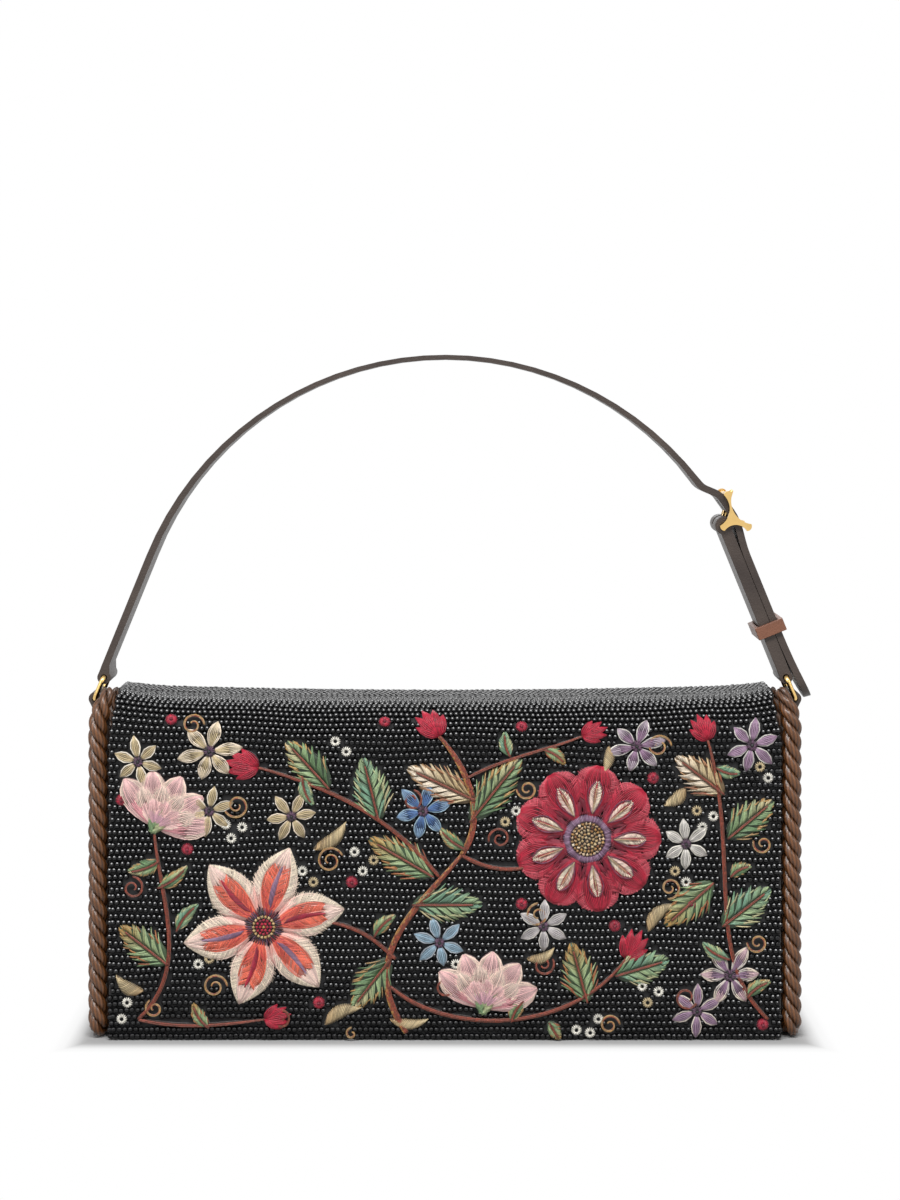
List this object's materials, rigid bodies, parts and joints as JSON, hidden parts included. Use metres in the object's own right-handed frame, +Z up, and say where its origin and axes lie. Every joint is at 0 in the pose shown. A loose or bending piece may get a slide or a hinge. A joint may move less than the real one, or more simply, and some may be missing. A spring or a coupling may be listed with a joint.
{
  "type": "baguette bag",
  "caption": "Rectangular baguette bag with a full beaded flap closed by a magnetic snap, rope-trimmed sides, and a buckled leather shoulder strap on small rings.",
  "frame": {"origin": "under the middle of the body, on the surface that the bag stands on", "axes": "+X across the bag to the viewer's right, -Y towards the flap's front, +Z up"},
  "size_m": [0.2697, 0.0477, 0.2507],
  "materials": {
    "beadwork": "black glass seed beads stitched on cloth",
    "body_leather": "smooth dark brown leather",
    "strap_leather": "dark brown leather with painted edges",
    "keeper_leather": "brown leather",
    "rope": "twisted brown silk rope",
    "gold": "polished gold plate",
    "steel": "plain steel",
    "board": "fibre board",
    "interlining": "felt interlining",
    "lining": "brown satin lining"
  },
  "bodies": {
    "body": {"back_panel": "beadwork", "front_panel": "body_leather", "base_panel": "beadwork", "gusset_left": "body_leather", "gusset_right": "body_leather", "back_board": "board", "front_board": "board", "base_board": "board", "lining": "lining", "slip_pocket": "lining", "rope_left": "rope", "rope_right": "rope", "snap_socket": "gold", "snap_socket_washer": "steel"},
    "flap_top": {"flap_top": "beadwork", "flap_top_pad": "interlining", "flap_top_lining": "body_leather"},
    "flap_front": {"flap_front": "beadwork", "flap_front_board": "board", "flap_front_lining": "body_leather", "snap_stud": "gold", "snap_stud_washer": "steel"},
    "tab_left": {"tab_left": "strap_leather"},
    "tab_right": {"tab_right": "strap_leather"},
    "ring_left": {"ring_left": "gold"},
    "ring_right": {"ring_right": "gold"},
    "strap": {"strap": "strap_leather", "chape": "strap_leather", "buckle_frame": "gold"},
    "prong": {"buckle_prong": "gold"},
    "keeper": {"keeper": "keeper_leather"}
  },
  "joints": [
    {"name": "flap_top_lift", "type": "hinge", "parent": "body", "child": "flap_top", "pos_m": [0, 0.02066, 0.12266], "axis": [-1, 0, 0], "range_deg": [0, 18]},
    {"name": "flap_front_lift", "type": "hinge", "parent": "flap_top", "child": "flap_front", "pos_m": [0, -0.01948, 0.12148], "axis": [-1, 0, 0], "range_deg": [0, 125]},
    {"name": "strap_swing", "type": "hinge", "parent": "body", "child": "tab_left", "pos_m": [-0.1302, 0, 0.1227], "axis": [-1, 0, 0], "range_deg": [-12, 30]},
    {"name": "tab_right_twist", "type": "hinge", "parent": "body", "child": "tab_right", "pos_m": [0.1302, 0, 0.1227], "axis": [-1, 0, 0], "range_deg": [-12, 30]},
    {"name": "ring_left_turn", "type": "hinge", "parent": "tab_left", "child": "ring_left", "pos_m": [-0.1302, 0, 0.1227], "axis": [0, 1, 0], "range_deg": [-5, 5]},
    {"name": "strap_turn", "type": "hinge", "parent": "ring_left", "child": "strap", "pos_m": [-0.12691, 0, 0.13065], "axis": [0, 1, 0], "range_deg": [-5.3, 5.3]},
    {"name": "ring_right_turn", "type": "hinge", "parent": "strap", "child": "ring_right", "pos_m": [0.12691, 0, 0.13065], "axis": [0, 1, 0], "range_deg": [-5.3, 5.3]},
    {"name": "prong_lift", "type": "hinge", "parent": "strap", "child": "prong", "pos_m": [0.10388, 0, 0.18713], "axis": [0, 1, 0], "range_deg": [0, 8]},
    {"name": "keeper_slide", "type": "slide", "parent": "strap", "child": "keeper", "axis": [-0.3775, 0, 0.926], "range_m": [-0.001, 0.022]}
  ],
  "couplings": [
    {"joint": "tab_right_twist", "follows": "strap_swing", "ratio": 1},
    {"joint": "strap_turn", "follows": "ring_left_turn", "ratio": -1.0259},
    {"joint": "ring_right_turn", "follows": "ring_left_turn", "ratio": 1.0259}
  ]
}
